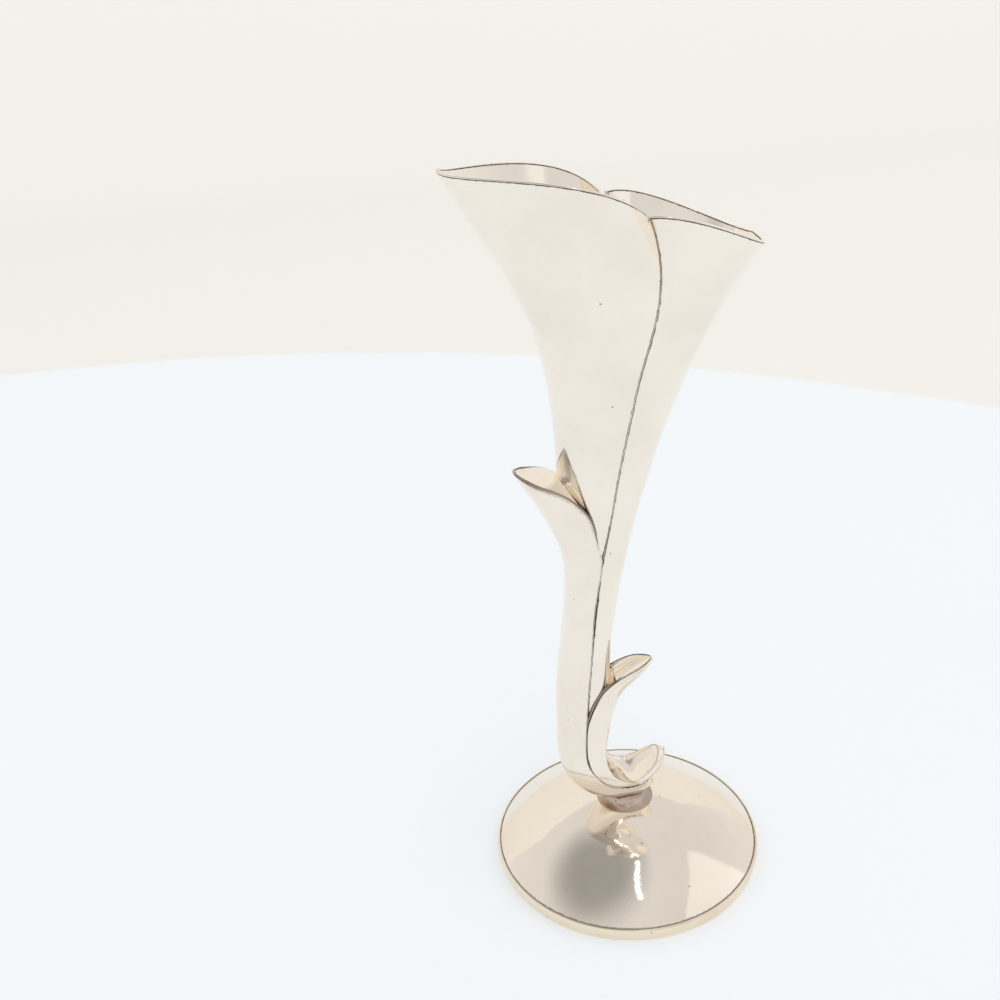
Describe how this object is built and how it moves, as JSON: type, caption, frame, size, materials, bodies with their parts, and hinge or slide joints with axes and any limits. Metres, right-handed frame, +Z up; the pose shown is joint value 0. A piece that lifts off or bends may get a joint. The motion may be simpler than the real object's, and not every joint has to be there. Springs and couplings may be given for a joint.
{
  "type": "trumpet vase",
  "caption": "Silver flower vase: a slanted flared trumpet of formed petals on a leaf-wrapped stem that bends under itself and stands on a round domed foot.",
  "frame": {"origin": "centre of the foot's rim on the table", "axes": "+Z up, +X towards the scoop and the mouth's lower tip, the vase is mirror symmetric about its XZ plane"},
  "size_m": [0.072, 0.072, 0.1866],
  "materials": {
    "petal_silver": "polished silver plate, warm tone",
    "leaf_silver": "polished silver plate, warm tone",
    "foot_silver": "polished silver plate with light wear",
    "rim_silver": "polished silver plate, worn to a yellower tone",
    "collar_silver": "silver plate, darkened at the solder",
    "cast_core": "rough casting, hidden",
    "fixings": "plain turned, hidden"
  },
  "bodies": {
    "root": {"foot_dome": "foot_silver", "foot_rim": "rim_silver", "collar": "collar_silver", "back_petal": "petal_silver", "front_petal": "petal_silver", "upper_leaf": "leaf_silver", "lower_leaf": "leaf_silver", "stem_core": "cast_core", "fixing_stud": "fixings", "fixing_washer": "fixings", "fixing_nut": "fixings"}
  },
  "joints": []
}
